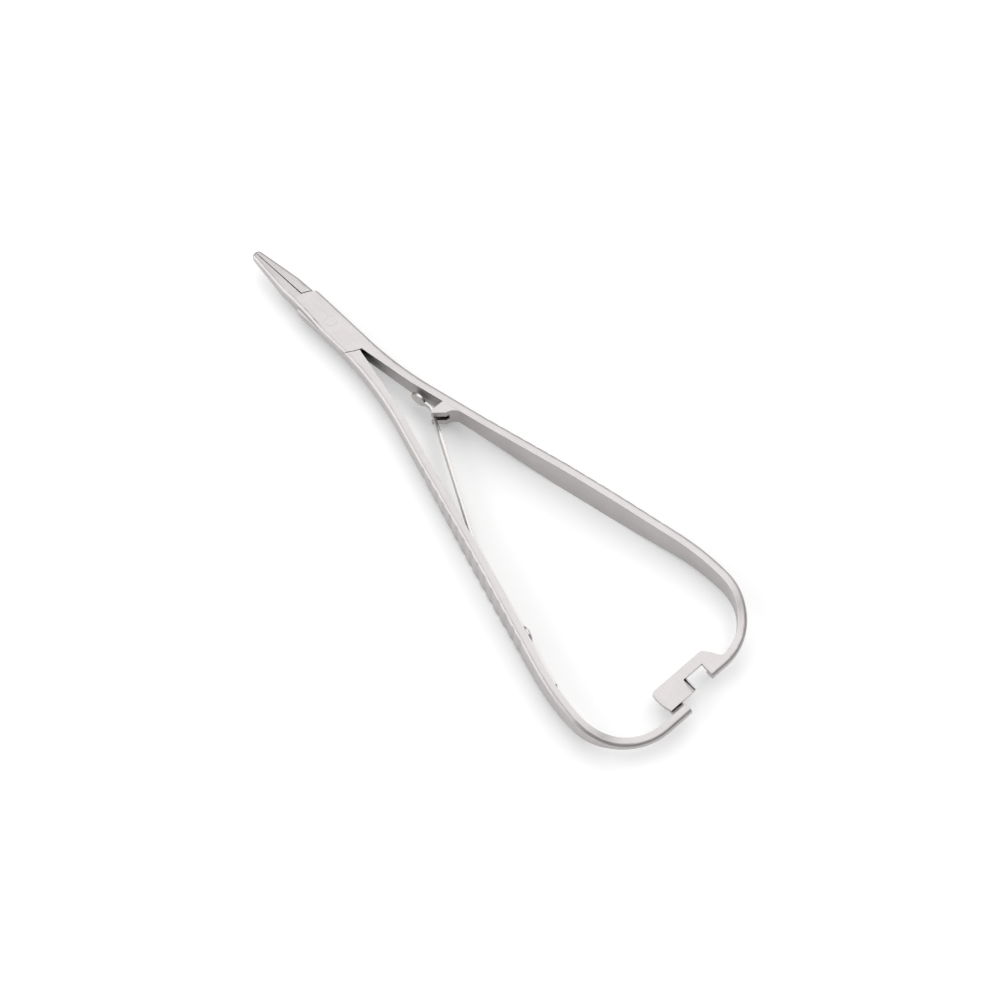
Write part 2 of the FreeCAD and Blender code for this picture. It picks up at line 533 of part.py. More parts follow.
def build_box_half():
    """Half with the box: two plates with a window between them, joined to its jaw in front
    and to its handle behind, the slotted spring guide and the upper ratchet plate."""
    side = -1
    body = rough_half("box", side, "0")

    window = new_sketch(body, "window_plan", "XY_Plane")
    turn_with_lock(window)
    outline(window, [
        ("dims.lock_reach", "dims.slit_root_gap"),
        ("dims.lock_side_reach", "dims.box_half_width"),
        ("dims.lock_side_reach", "places.clear_side"),
        ("-places.clear_reach", "places.clear_side"),
        ("-places.clear_reach", "-dims.apex_half_gap"),
        ("-dims.lock_reach", "-dims.apex_half_gap"),
        ("-dims.lock_side_reach", "-dims.box_half_width"),
        ("-dims.lock_side_reach", "-places.clear_side"),
        ("places.clear_reach", "-places.clear_side"),
        ("places.clear_reach", "0"),
    ])
    cut_both_ways(body, "window", window, "places.slot_height")

    bore = new_sketch(body, "box_bore_plan", "XY_Plane")
    turn_with_lock(bore)
    circle_at(bore, "0", "0", "dims.pin_radius")
    cut_both_ways(body, "box_bore", bore, "2 * dims.box_thickness")

    finger_grooves(body, "box", side)
    jaw_serrations(body, "box", side)

    slope = "tan(dims.handle_angle)"
    root = "places.nose_root_h"
    waist = "dims.nose_run + dims.nose_length"
    waist_h = f"{root} + dims.nose_length * {slope} - dims.strap_thickness"
    flare = "dims.nose_fillet * 0.85"
    nose = new_sketch(body, "nose_plan", "XY_Plane")
    outline(nose, [
        ("-dims.nose_run", f"-({root} + dims.strap_thickness / 2)"),
        ("-dims.nose_run", "-(dims.nose_reach + dims.nose_length / 2)", "dims.nose_length", 1),
        ("-dims.nose_run - dims.nose_length * 0.2", "-dims.nose_reach"),
        (f"-({waist})", f"-({waist_h})", "dims.nose_fillet", -1),
        (f"-({waist} + {flare})", f"-({root} + (dims.nose_length + {flare}) * {slope})"),
        (f"-({waist} + {flare})",
         f"-({root} + (dims.nose_length + {flare}) * {slope} + dims.strap_thickness / 2)"),
    ])
    pad_both_ways(body, "nose", nose, "dims.nose_height")
    slot = new_sketch(body, "nose_slot_plan", "XY_Plane")
    slot_back = f"-({root} - dims.nose_wall)"
    outline(slot, [
        ("-dims.nose_run + 1", slot_back),
        ("-dims.nose_run + 1", "0"),
        (f"-({waist} + {flare})", "0"),
        (f"-({waist} + {flare})", slot_back),
    ])
    cut_both_ways(body, "nose_slot", slot, "dims.nose_slot")

    plate = new_sketch(body, "upper_plate_plan", "XY_Plane", "places.lap_z")
    outline(plate, [
        ("-places.box_turn_x - dims.strap_thickness / 2", "-dims.box_hook"),
        ("-places.arm_rear", "-dims.box_hook"),
        ("-places.arm_rear", "-dims.plate_side"),
        ("-dims.plate_rear", "dims.plate_side + 0.5"),
        ("-dims.plate_rear", "dims.plate_reach - 0.6", "12", -1),
        ("-dims.ratchet_front - 0.8", "dims.plate_reach", "1", -1),
        ("-dims.ratchet_front", "dims.plate_reach - 1"),
        ("-dims.ratchet_front", "-dims.box_hook - 1.6", "1.2", -1),
        ("-dims.ratchet_front - 0.5", "-dims.box_hook - dims.arm_width"),
        ("-dims.ratchet_front - 2.6", "-dims.box_hook - dims.arm_width - 1.6",
         "dims.hook_fillet", 1),
        ("-places.box_turn_x - 0.2", "-dims.box_hook - dims.arm_width - 5"),
        ("-places.box_turn_x - dims.strap_thickness / 2",
         "-dims.box_hook - dims.arm_width - 5"),
    ])
    feature(body, "Pad", "upper_plate", plate, rules={"Length": "places.plate_height"})
    ratchet_teeth(body, "box", "places.lap_z", True, "dims.catch_reach - dims.plate_reach + 8")
    relief = new_sketch(body, "relief_plan", "XY_Plane",
                        "dims.end_thickness / 2 - dims.relief_depth")
    outline(relief, [
        ("-places.arm_rear", "-dims.plate_side", "dims.relief_radius", 1),
        ("-dims.plate_rear + 0.5", "dims.plate_side + 0.4"),
        ("-dims.plate_rear + 0.5", "-1"),
        ("-places.arm_rear", "-1"),
    ])
    cut_up(body, "relief", relief, "1")
    return body


def build_cross_half():
    """Half that passes through the box: jaw, tongue, handle and lower ratchet plate."""
    side = 1
    body = rough_half("cross", side, "dims.step_gap")

    reach = "dims.lock_reach + dims.step_gap"
    side_reach = "dims.lock_side_reach + dims.step_gap"
    cheeks = new_sketch(body, "cheek_plan", "XY_Plane", "places.tongue_height / 2")
    turn_with_lock(cheeks)
    outline(cheeks, [
        (side_reach, "-places.clear_side"),
        (side_reach, "-dims.box_half_width", "dims.lock_arc", 1),
        (reach, "0"),
        (reach, "places.clear_side"),
        (f"-({side_reach})", "places.clear_side"),
        (f"-({side_reach})", "dims.box_half_width", "dims.lock_arc", 1),
        (f"-({reach})", "-dims.apex_half_gap"),
        (f"-({reach})", "-places.clear_side"),
    ])
    cheek = cut_up(body, "upper_cheek", cheeks, "dims.box_thickness")
    mirror_below(body, "cheeks", cheek)

    bore = new_sketch(body, "tongue_bore_plan", "XY_Plane")
    turn_with_lock(bore)
    circle_at(bore, "0", "0", "dims.pin_radius + dims.pin_gap")
    cut_both_ways(body, "tongue_bore", bore, "2 * dims.box_thickness")

    finger_grooves(body, "cross", side)
    jaw_serrations(body, "cross", side)

    plate = new_sketch(body, "lower_plate_plan", "XY_Plane", "-places.lap_z")
    outline(plate, [
        ("-dims.ratchet_front - 0.8", "-dims.catch_reach"),
        ("-dims.ratchet_front - 0.8", "dims.plate_reach - 0.8"),
        ("-places.cross_turn_x - dims.strap_thickness / 2", "dims.plate_reach - 0.8"),
        ("-places.cross_turn_x - dims.strap_thickness / 2", "dims.cross_hook"),
        ("-dims.catch_rear", "dims.cross_hook"),
        ("-dims.catch_rear", "-dims.catch_reach"),
    ])
    feature(body, "Pad", "lower_plate", plate, Reversed=True,
            rules={"Length": "places.plate_height"})
    ratchet_teeth(body, "cross", "-places.lap_z", False, "-dims.catch_reach + 0.3")

    screw_hole(body, "cross_screw_hole", "dims.screw_radius")
    return body


def screw_hole(body, name, radius_rule):
    """Hole square to the strap, where the spring screw goes in."""
    sketch = new_sketch(body, f"{name}_plan", "XZ_Plane")
    circle_at(sketch, "0", "0", radius_rule)
    square = FreeCAD.Rotation(FreeCAD.Vector(0, 1, 0), -value("dims.handle_angle"))
    sketch.AttachmentOffset = FreeCAD.Placement(FreeCAD.Vector(0, 0, 0), square)
    sketch.setExpression("AttachmentOffset.Base.x", "-dims.screw_run")
    sketch.setExpression("AttachmentOffset.Base.z", "-places.screw_h")
    cut_both_ways(body, name, sketch, "2 * dims.screw_depth")


def build_joint_pin():
    """Pin through the box and the tongue, ground flush with the plates."""
    body = doc.addObject("PartDesign::Body", "joint_pin")
    sketch = new_sketch(body, "pin_plan", "XY_Plane")
    turn_with_lock(sketch)
    circle_at(sketch, "0", "0", "dims.pin_radius")
    pad_both_ways(body, "pin", sketch, "dims.box_thickness")
    return body


def build_leaf_spring():
    """Leaf screwed to the crossing half: it lies on the strap, leans over to the spring
    guide, passes its slot with a narrow neck and ends in a disc that can't pull through."""
    body = doc.addObject("PartDesign::Body", "leaf_spring")
    side_view = new_sketch(body, "leaf_elevation", "XZ_Plane")
    half_height = "dims.leaf_height / 2"
    half_neck = "dims.leaf_neck_height / 2"
    half_head = "dims.leaf_head_diameter / 2"
    chord = f"sqrt(({half_head}) ^ 2 - ({half_neck}) ^ 2)"
    head_back = f"-dims.leaf_head_run - {chord}"
    outline(side_view, [
        ("-dims.leaf_tail_run", f"-({half_height} - 0.8)", "0.8", 1),
        ("-dims.leaf_tail_run + 0.8", f"-({half_height})"),
        ("-dims.leaf_taper_run", f"-({half_height})"),
        ("-dims.leaf_neck_run - 4", f"-({half_neck})"),
        (head_back, f"-({half_neck})", half_head, 1),
        ("-dims.leaf_head_run", f"-({half_head})", half_head, 1),
        (f"-dims.leaf_head_run + {half_head}", "0", half_head, 1),
        ("-dims.leaf_head_run", half_head, half_head, 1),
        (head_back, half_neck),
        ("-dims.leaf_neck_run - 4", half_neck),
        ("-dims.leaf_taper_run", half_height),
        ("-dims.leaf_tail_run + 0.8", half_height, "0.8", 1),
        ("-dims.leaf_tail_run", f"{half_height} - 0.8"),
    ])
    pad_both_ways(body, "leaf_blank", side_view, "places.span")

    curl = math.asin(value("(dims.cross_bow_centre - dims.leaf_tail_run) / places.leaf_curl"))
    slope = math.radians(value("dims.handle_angle"))
    reach = value("places.leaf_curl") * math.tan((slope - curl) / 2)
    curl_end = FreeCAD.Vector(value("-places.leaf_curl_run"), value("places.leaf_curl_h"), 0)
    turn = curl_end + FreeCAD.Vector(-math.cos(slope), math.sin(slope), 0) * reach
    tail = turn + FreeCAD.Vector(-math.cos(curl), math.sin(curl), 0) * reach
    bend = FreeCAD.Vector(value("-dims.leaf_bend_run"), value("places.leaf_bend_h"), 0)
    neck = FreeCAD.Vector(value("-dims.leaf_neck_run"), value("places.leaf_neck_h"), 0)
    head_turn = math.radians(value("dims.leaf_head_angle"))
    beyond = value("dims.leaf_neck_run - dims.leaf_head_run + dims.leaf_head_diameter")
    head = neck + FreeCAD.Vector(math.cos(head_turn), math.sin(head_turn), 0) * beyond
    strip = new_sketch(body, "leaf_plan", "XY_Plane")
    radii = [value(rule) for rule in
             ("places.leaf_curl", "dims.leaf_bend_radius", "dims.leaf_neck_radius")]
    strip_outline(strip, [tail, turn, bend, neck, head], radii, value("dims.leaf_thickness"))
    outline(strip, [
        ("0", "-places.span"),
        ("0", "places.span"),
        ("-dims.leaf_tail_run - 5", "places.span"),
        ("-dims.leaf_tail_run - 5", "-places.span"),
    ])
    cut_both_ways(body, "leaf_bending", strip, "2 * dims.leaf_height")

    screw_hole(body, "leaf_screw_hole", "dims.screw_radius + dims.screw_gap")
    return body


def strip_outline(sketch, route, radii, thickness):
    """Outline of a bent strip: straight runs with tangent bends at the inner points."""
    sides = ([], [])
    headings = [(last - first).normalize() for first, last in zip(route, route[1:])]
    for number, (spot, heading) in enumerate(zip(route, headings + headings[-1:])):
        before = headings[max(number - 1, 0)]
        for lane, offset in zip(sides, (thickness / 2, -thickness / 2)):
            if number in (0, len(route) - 1):
                lane.append([spot + FreeCAD.Vector(-heading.y, heading.x, 0) * offset])
                continue
            turn = math.atan2(before.cross(heading).z, before.dot(heading))
            bisector = (heading - before).normalize()
            radius = radii[number - 1]
            centre = spot + bisector * (radius / math.cos(turn / 2))
            reach = radius - offset * (1 if turn > 0 else -1)
            lane.append([
                centre + FreeCAD.Vector(before.y, -before.x, 0) * (reach * (1 if turn > 0 else -1)),
                centre - bisector * reach,
                centre + FreeCAD.Vector(heading.y, -heading.x, 0) * (reach * (1 if turn > 0 else -1)),
            ])
    edges = []
    for lane in sides:
        last = None
        for spots in lane:
            if last is not None and last.distanceToPoint(spots[0]) > 1e-6:
                edges.append(Part.LineSegment(last, spots[0]))
            if len(spots) == 3:
                edges.append(Part.Arc(*spots))
            last = spots[-1]
    edges.append(Part.LineSegment(sides[0][0][0], sides[1][0][0]))
    edges.append(Part.LineSegment(sides[0][-1][-1], sides[1][-1][-1]))
    for edge in edges:
        number = sketch.addGeometry(edge, False)
        sketch.addConstraint(Sketcher.Constraint("Block", number))


def build_spring_screw():
    """Screw with a domed, slotted head that holds the leaf on the strap. It is turned about
    its own axis: x runs out of the strap."""
    body = doc.addObject("PartDesign::Body", "spring_screw")
    sketch = new_sketch(body, "screw_profile", "XY_Plane")
    seat = "dims.leaf_gap + dims.leaf_thickness + dims.leaf_gap"
    crown = "(dims.screw_head_radius ^ 2 + (dims.screw_head_height - dims.screw_rim) ^ 2)" \
            " / (2 * (dims.screw_head_height - dims.screw_rim))"
    outline(sketch, [
        ("-dims.screw_depth", "0"),
        (f"{seat} + dims.screw_head_height", "0", crown, 1),
        (f"{seat} + dims.screw_rim", "dims.screw_head_radius"),
        (seat, "dims.screw_head_radius"),
        (seat, "dims.screw_radius"),
        ("-dims.screw_depth", "dims.screw_radius"),
    ])
    turned = feature(body, "Revolution", "screw", sketch)
    turned.ReferenceAxis = (sketch, ["H_Axis"])
    turned.Angle = 360
    doc.recompute()
    slot = new_sketch(body, "driver_slot_profile", "XY_Plane")
    top = f"{seat} + dims.screw_head_height"
    outline(slot, [
        (f"{top} - dims.screw_slot_depth", "-dims.screw_slot_width / 2"),
        (f"{top} + 1", "-dims.screw_slot_width / 2"),
        (f"{top} + 1", "dims.screw_slot_width / 2"),
        (f"{top} - dims.screw_slot_depth", "dims.screw_slot_width / 2"),
    ])
    cut_both_ways(body, "driver_slot", slot, "4 * dims.screw_head_radius")
    return body


def seat_piece(body):
    """Pieces drawn about the pin go to their place in the shared frame."""
    body.setExpression("Placement.Base.x", "places.seat_x")
    body.setExpression("Placement.Base.y", "places.seat_y")
    body.setExpression("Placement.Base.z", "places.middle_z")


pieces = [build_box_half(), build_cross_half(), build_joint_pin(), build_leaf_spring()]
for piece in pieces:
    seat_piece(piece)
spring_screw = build_spring_screw()
spring_screw.Placement = FreeCAD.Placement(
    FreeCAD.Vector(0, 0, 0),
    FreeCAD.Rotation(FreeCAD.Vector(0, 0, 1), -90 - value("dims.handle_angle")))
spring_screw.setExpression("Placement.Base.x", "places.seat_x - dims.screw_run")
spring_screw.setExpression("Placement.Base.y", "places.seat_y + places.screw_h")
spring_screw.setExpression("Placement.Base.z", "places.middle_z")
pieces.append(spring_screw)
doc.recompute()

failed = [item.Name for item in doc.Objects if {"Invalid", "Error"} & set(item.State)]
if failed:
    raise RuntimeError(f"these features failed: {failed}")
for piece in pieces:
    if piece.Shape.isNull() or not piece.Shape.isValid() or len(piece.Shape.Solids) != 1:
        raise RuntimeError(f"{piece.Label} is not one valid solid")

os.makedirs("parts", exist_ok=True)
for piece in pieces:
    piece.Shape.exportStep(f"parts/{piece.Label}.step")
    box = piece.Shape.BoundBox
    print(f"{piece.Label}: volume {piece.Shape.Volume:.1f} mm3,"
          f" x {box.XMin:.2f} to {box.XMax:.2f}, y {box.YMin:.2f} to {box.YMax:.2f},"
          f" z {box.ZMin:.2f} to {box.ZMax:.2f}")
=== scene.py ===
import math

import bmesh
import bpy
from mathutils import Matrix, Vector


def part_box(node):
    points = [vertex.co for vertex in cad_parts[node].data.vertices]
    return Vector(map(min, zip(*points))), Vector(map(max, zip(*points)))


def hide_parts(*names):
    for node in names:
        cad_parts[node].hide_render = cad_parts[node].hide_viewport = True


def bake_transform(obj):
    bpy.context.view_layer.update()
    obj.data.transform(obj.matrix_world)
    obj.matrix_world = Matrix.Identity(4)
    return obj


# Needle holder lying shut on a white table: two crossing steel halves with a box lock, a
# leaf spring between the handles and a ratchet at their ends. The shapes of the halves, the
# pin and the screw are the frame's own; the leaf spring is a bent strip made here.

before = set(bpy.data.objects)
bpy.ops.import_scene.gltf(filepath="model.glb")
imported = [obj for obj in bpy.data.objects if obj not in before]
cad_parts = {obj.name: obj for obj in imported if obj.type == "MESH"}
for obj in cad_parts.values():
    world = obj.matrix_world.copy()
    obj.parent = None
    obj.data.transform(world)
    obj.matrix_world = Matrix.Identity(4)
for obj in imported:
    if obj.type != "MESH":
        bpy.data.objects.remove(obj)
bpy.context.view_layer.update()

# Camera: it looks down on the instrument from beyond the handle with the leaf spring, with
# the jaws up and to the left, as the photograph does.
VIEW_AZIMUTH = math.radians(228.43)
VIEW_ELEVATION = math.radians(65)
VIEW_TARGET = Vector((-0.01049, -0.001034, 0))
VIEW_DISTANCE = 0.520
VIEW_LENS = 73.6
SENSOR_WIDTH = 36

towards_camera = Vector((
    math.sin(VIEW_AZIMUTH) * math.cos(VIEW_ELEVATION),
    -math.cos(VIEW_AZIMUTH) * math.cos(VIEW_ELEVATION),
    math.sin(VIEW_ELEVATION),
))
camera = bpy.data.objects.new("camera", bpy.data.cameras.new("camera"))
camera.data.lens = VIEW_LENS
camera.data.sensor_width = SENSOR_WIDTH
camera.data.clip_start = 0.01
camera.location = VIEW_TARGET + towards_camera * VIEW_DISTANCE
camera.rotation_mode = "QUATERNION"
camera.rotation_quaternion = (-towards_camera).to_track_quat("-Z", "Y")
bpy.context.scene.collection.objects.link(camera)
bpy.context.scene.camera = camera

# Box half: one stainless forging with a jaw, the two plates of the box, a strap with finger
# grooves, the spring guide, the bow and the upper ratchet plate. It is milled, then blasted
# with fine glass beads, and its edges are rubbed bright by handling.
STEEL = (0.48, 0.459, 0.456)
STEEL_WORN = (0.54, 0.522, 0.524)
STEEL_ROUGHNESS = 0.42
WORN_ROUGHNESS = 0.22
STEEL_TONES = (0.86, 1.12)
STRAP_ANGLE = math.radians(14.24)
EDGE_SOFTNESS = 0.00013
EDGE_SAMPLES = 6
WEAR_REACH = 0.0003
WEAR_TURN = (0.99, 0.88)
# Painted shade in the hollows: how far the occlusion looks, its samples, the span of open sky it
# fades over and its darkest tone.
PAINTED_SHADE_REACH = 0.0055
PAINTED_SHADE_SAMPLES = 8
PAINTED_SHADE_SPAN = (0.27, 0.5)
PAINTED_SHADE_TONE = 0.04
BEADS_PER_METRE = 4200
PITS_PER_METRE = 9000
LAY_PER_METRE = 2600
LAY_STRETCH = 0.05
CLOUDS_PER_METRE = 160
HANDLING_PER_METRE = 900
HANDLING_SPAN = (0.35, 0.6)
LEAST_WEAR = 0.35
TONE_SPAN = (0.32, 0.68)
BLAST_RELIEF = 0.000028


class Signal:
    """Output of a shader node. Sums written with it add Math nodes to the same finish."""

    def __init__(self, finish, socket):
        self.finish = finish
        self.socket = socket

    def sum_with(self, operation, first, second):
        return self.finish.node("ShaderNodeMath", {"operation": operation}, {0: first, 1: second})

    def __add__(self, other):
        return self.sum_with("ADD", self, other)

    def __sub__(self, other):
        return self.sum_with("SUBTRACT", self, other)

    def __rsub__(self, other):
        return self.sum_with("SUBTRACT", other, self)

    def __mul__(self, other):
        return self.sum_with("MULTIPLY", self, other)

    __radd__ = __add__
    __rmul__ = __mul__


class Finish:
    """Material of one kind of surface, with its nodes."""

    def __init__(self, name):
        self.material = bpy.data.materials.new(name)
        self.material.use_nodes = True
        self.tree = self.material.node_tree
        self.tree.nodes.clear()

    def node(self, kind, settings=None, inputs=None, output=0):
        """New node: its settings first, then its sockets, each a value or a Signal."""
        made = self.tree.nodes.new(kind)
        for name, setting in (settings or {}).items():
            setattr(made, name, setting)
        for name, given in (inputs or {}).items():
            if isinstance(given, Signal):
                self.tree.links.new(given.socket, made.inputs[name])
            else:
                made.inputs[name].default_value = given
        return Signal(self, made.outputs[output]) if made.outputs else None

    def noise(self, where, lumps, detail=2.0, roughness=0.5):
        """Cloudy value round 0.5, with that many lumps in each unit of length."""
        return self.node("ShaderNodeTexNoise", None, {
            "Vector": where, "Scale": lumps, "Detail": detail, "Roughness": roughness,
        })

    def ramp(self, given, low, high, start=0.0):
        """Value that goes from start to 1 as the given one goes from low to high."""
        return self.node("ShaderNodeMapRange", {"clamp": True}, {
            "Value": given, "From Min": low, "From Max": high, "To Min": start, "To Max": 1.0,
        })

    def blend_colours(self, share, first, second):
        """First colour where the share is 0, second where it is 1."""
        return self.node("ShaderNodeMix", {"data_type": "RGBA"}, {
            "Factor": share, 6: (*first, 1) if isinstance(first, tuple) else first,
            7: (*second, 1) if isinstance(second, tuple) else second,
        }, output=2)

    def place(self):
        """Point in the instrument's own frame, so that a finish stays put when it opens."""
        return self.node("ShaderNodeTexCoord", output=3)

    def metal(self, colour, roughness, height, relief):
        """Closes the finish: metal with that colour, gloss and fine relief."""
        edge = self.node("ShaderNodeBevel", {"samples": EDGE_SAMPLES}, {"Radius": EDGE_SOFTNESS})
        bump = self.node("ShaderNodeBump", None, {
            "Height": height, "Distance": relief, "Strength": 1.0, "Normal": edge,
        })
        shader = self.node("ShaderNodeBsdfPrincipled", None, {
            "Base Color": colour, "Metallic": 1.0, "Roughness": roughness, "Normal": bump,
        })
        self.node("ShaderNodeOutputMaterial", None, {"Surface": shader})
        return self.material

    def edge_wear(self):
        """1 on the edges, where the surface turns within a short reach, and 0 on the flats."""
        rounded = self.node("ShaderNodeBevel", {"samples": EDGE_SAMPLES}, {"Radius": WEAR_REACH})
        flat = self.node("ShaderNodeNewGeometry", output=1)
        match = self.node("ShaderNodeVectorMath", {"operation": "DOT_PRODUCT"},
                          {0: rounded, 1: flat}, output=1)
        return self.ramp(match, *WEAR_TURN)


def tone_of(colour, share):
    """That share of a colour: under 1 darker, over 1 lighter."""
    return tuple(share * part for part in colour)


def blasted_steel(name, strap_turn):
    """Satin steel: fine bead-blast grain over a faint rubbed lay along the strap, with painted
    shade darkening its hollows.
    """
    finish = Finish(name)
    where = finish.place()
    along_strap = finish.node("ShaderNodeMapping", None, {
        "Vector": where, "Rotation": (0, 0, strap_turn), "Scale": (LAY_STRETCH, 1, 1),
    })
    beads = finish.noise(where, BEADS_PER_METRE, detail=1.0)
    pits = finish.noise(where, PITS_PER_METRE, detail=0.0)
    lay = finish.noise(along_strap, LAY_PER_METRE, detail=3.0, roughness=0.6)
    clouds = finish.noise(where, CLOUDS_PER_METRE, detail=3.0)
    handling = finish.noise(where, HANDLING_PER_METRE)
    wear = finish.edge_wear() * finish.ramp(handling, *HANDLING_SPAN, LEAST_WEAR)
    # Painted shade: the colour goes nearly black where little open sky is seen, in slits, creases
    # and hollows.
    open_sky = finish.node("ShaderNodeAmbientOcclusion", {"samples": PAINTED_SHADE_SAMPLES},
                           {"Distance": PAINTED_SHADE_REACH}, output=1)
    tone = finish.ramp(clouds * 0.4 + beads * 0.3 + lay * 0.3, *TONE_SPAN)
    darker, lighter = STEEL_TONES
    ground = finish.blend_colours(tone, tone_of(STEEL, darker), tone_of(STEEL, lighter))
    with_painted_shade = finish.blend_colours(
        finish.ramp(open_sky, *PAINTED_SHADE_SPAN), tone_of(STEEL, PAINTED_SHADE_TONE), ground)
    colour = finish.blend_colours(wear, with_painted_shade, STEEL_WORN)
    roughness = (STEEL_ROUGHNESS - (STEEL_ROUGHNESS - WORN_ROUGHNESS) * wear
                 + (clouds - 0.5) * 0.12 + (lay - 0.5) * 0.10)
    height = beads * 0.55 + pits * 0.2 + lay * 0.25
    return finish.metal(colour, roughness, height, BLAST_RELIEF)


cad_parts["box_half"].material_slots[0].material = blasted_steel("box_steel", -STRAP_ANGLE)

# Crossing half: the other forging, whose thinned tongue passes through the box. It has the
# same milled, bead-blasted and handled steel, with its lay along its own strap.
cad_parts["cross_half"].material_slots[0].material = blasted_steel(
    "cross_steel", STRAP_ANGLE)

# Joint pin: a steel rivet through the plates and the tongue, ground flush with the plates
# and blasted with them, so that only a faint ring of turning marks is left.
PIN_RINGS = 5200
PIN_RELIEF = 0.00001
TURNED_TONES = (0.94, 1.05)
TURNED_SPAN = (0.3, 0.7)


def rings_about(finish, centre, axis, per_metre):
    """Turning marks: lines in circles round an axis."""
    out = finish.node("ShaderNodeVectorMath", {"operation": "SUBTRACT"},
                      {0: finish.place(), 1: tuple(centre)})
    across = finish.node("ShaderNodeVectorMath", {"operation": "CROSS_PRODUCT"},
                         {0: out, 1: tuple(axis)})
    radius = finish.node("ShaderNodeVectorMath", {"operation": "LENGTH"}, {0: across}, output=1)
    return finish.node("ShaderNodeTexNoise", {"noise_dimensions": "1D"}, {
        "W": radius * per_metre, "Scale": 1.0, "Detail": 2.0,
    })


def turned_steel(name, steel, centre, axis, roughness, relief):
    """Steel turned on a lathe, with circles of fine marks and a light blasting."""
    finish = Finish(name)
    marks = rings_about(finish, centre, axis, PIN_RINGS)
    beads = finish.noise(finish.place(), BEADS_PER_METRE, detail=1.0)
    wear = finish.edge_wear()
    darker, lighter = TURNED_TONES
    ground = finish.blend_colours(
        finish.ramp(marks * 0.5 + beads * 0.5, *TURNED_SPAN),
        tone_of(steel, darker), tone_of(steel, lighter))
    colour = finish.blend_colours(wear, ground, STEEL_WORN)
    gloss = roughness - 0.1 * wear + (marks - 0.5) * 0.12
    return finish.metal(colour, gloss, marks * 0.6 + beads * 0.4, relief)


pin_low, pin_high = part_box("joint_pin")
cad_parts["joint_pin"].material_slots[0].material = turned_steel(
    "pin_steel", STEEL, (pin_low + pin_high) / 2, (0, 0, 1), STEEL_ROUGHNESS, PIN_RELIEF)

# Leaf spring: stamped from bright rolled strip, bent and screwed to the crossing half. Its
# neck runs in the slot of the spring guide, so it bends when the handles move. Sizes are in
# millimetres from the handles' middle line beside the pin: runs forward, heights sideways.
LEAF_ROUTE = ((-113.6, 24.165), (-110.918, 23.735), (-71.5, 13.731), (-35.6, -3.315),
              (-28.9, -1.891))
LEAF_BENDS = (60.63, 30.0, 2.5)
LEAF_THICKNESS = 0.7
LEAF_HALF_HEIGHT = 2.3
LEAF_TAIL_CORNER = 0.8
LEAF_NECK_HALF_HEIGHT = 0.8
LEAF_TAPER = (-43.5, -39.6)
LEAF_DISC = (-31.6, 2.2)
LEAF_HOLE = (-98.29, 1.3)
LEAF_ROWS = 8
LEAF_TAIL_STEPS = 6
LEAF_BODY_STEPS = 96
LEAF_DISC_STEPS = 28
LEAF_HOLE_SIDES = 40
LEAF_EDGE = 0.06
LEAF_EDGE_ANGLE = math.radians(50)
LEAF_SHARP_ANGLE = math.radians(35)
LEAF_STEEL = (0.52, 0.5, 0.482)
LEAF_TONES = (0.92, 1.06)
LEAF_TONE_SPAN = (0.3, 0.7)
LEAF_ROUGHNESS = 0.3
LEAF_RELIEF = 0.00001
ROLLING_STRETCH = 0.04
ROLLING_PER_MILLIMETRE = 9.0
LEAF_CLOUDS_PER_MILLIMETRE = 0.25
LEAF_BEADS_PER_MILLIMETRE = 4.5
BEND_POINTS = 24
MILLIMETRE = 0.001
LEAF_ORIGIN = Vector((0.05454, -0.00025, 0.00535))


def bent_line(route, radii):
    """Points of a line of straight runs with tangent bends: (run, height, heading)."""
    spots = [Vector(spot) for spot in route]
    headings = [(last - first).normalized() for first, last in zip(spots, spots[1:])]
    angles = [math.atan2(heading.y, heading.x) for heading in headings]
    line = [(*spots[0], angles[0])]
    for spot, radius, before, start, end in zip(
            spots[1:], radii, headings, angles, angles[1:]):
        reach = radius * math.tan(abs(end - start) / 2)
        side = math.copysign(1, end - start)
        first = spot - before * reach
        centre = first + Vector((-before.y, before.x)) * radius * side
        for step in range(BEND_POINTS + 1):
            turn = start + (end - start) * step / BEND_POINTS
            out = Vector((math.sin(turn), -math.cos(turn))) * radius * side
            line.append((*(centre + out), turn))
    line.append((*spots[-1], angles[-1]))
    return line


def on_line(line, run):
    """Height and heading of the bent line at a run."""
    for (x0, y0, a0), (x1, y1, a1) in zip(line, line[1:]):
        if run <= x1:
            share = (run - x0) / max(x1 - x0, 1e-9)
            return y0 + (y1 - y0) * share, a0 + (a1 - a0) * share
    return line[-1][1], line[-1][2]


def leaf_half_height(run):
    """Half of the leaf's height at a run: tail corners, full height, taper, neck, disc."""
    tail = run - LEAF_ROUTE[0][0]
    if tail < LEAF_TAIL_CORNER:
        drop = LEAF_TAIL_CORNER - math.sqrt(max(
            LEAF_TAIL_CORNER ** 2 - (LEAF_TAIL_CORNER - tail) ** 2, 0))
        return LEAF_HALF_HEIGHT - drop
    centre, radius = LEAF_DISC
    if run > centre or radius ** 2 - (run - centre) ** 2 > LEAF_NECK_HALF_HEIGHT ** 2:
        return math.sqrt(max(radius ** 2 - (run - centre) ** 2, 0))
    wide, narrow = LEAF_TAPER
    share = min(max((run - wide) / (narrow - wide), 0), 1)
    return LEAF_HALF_HEIGHT + (LEAF_NECK_HALF_HEIGHT - LEAF_HALF_HEIGHT) * share


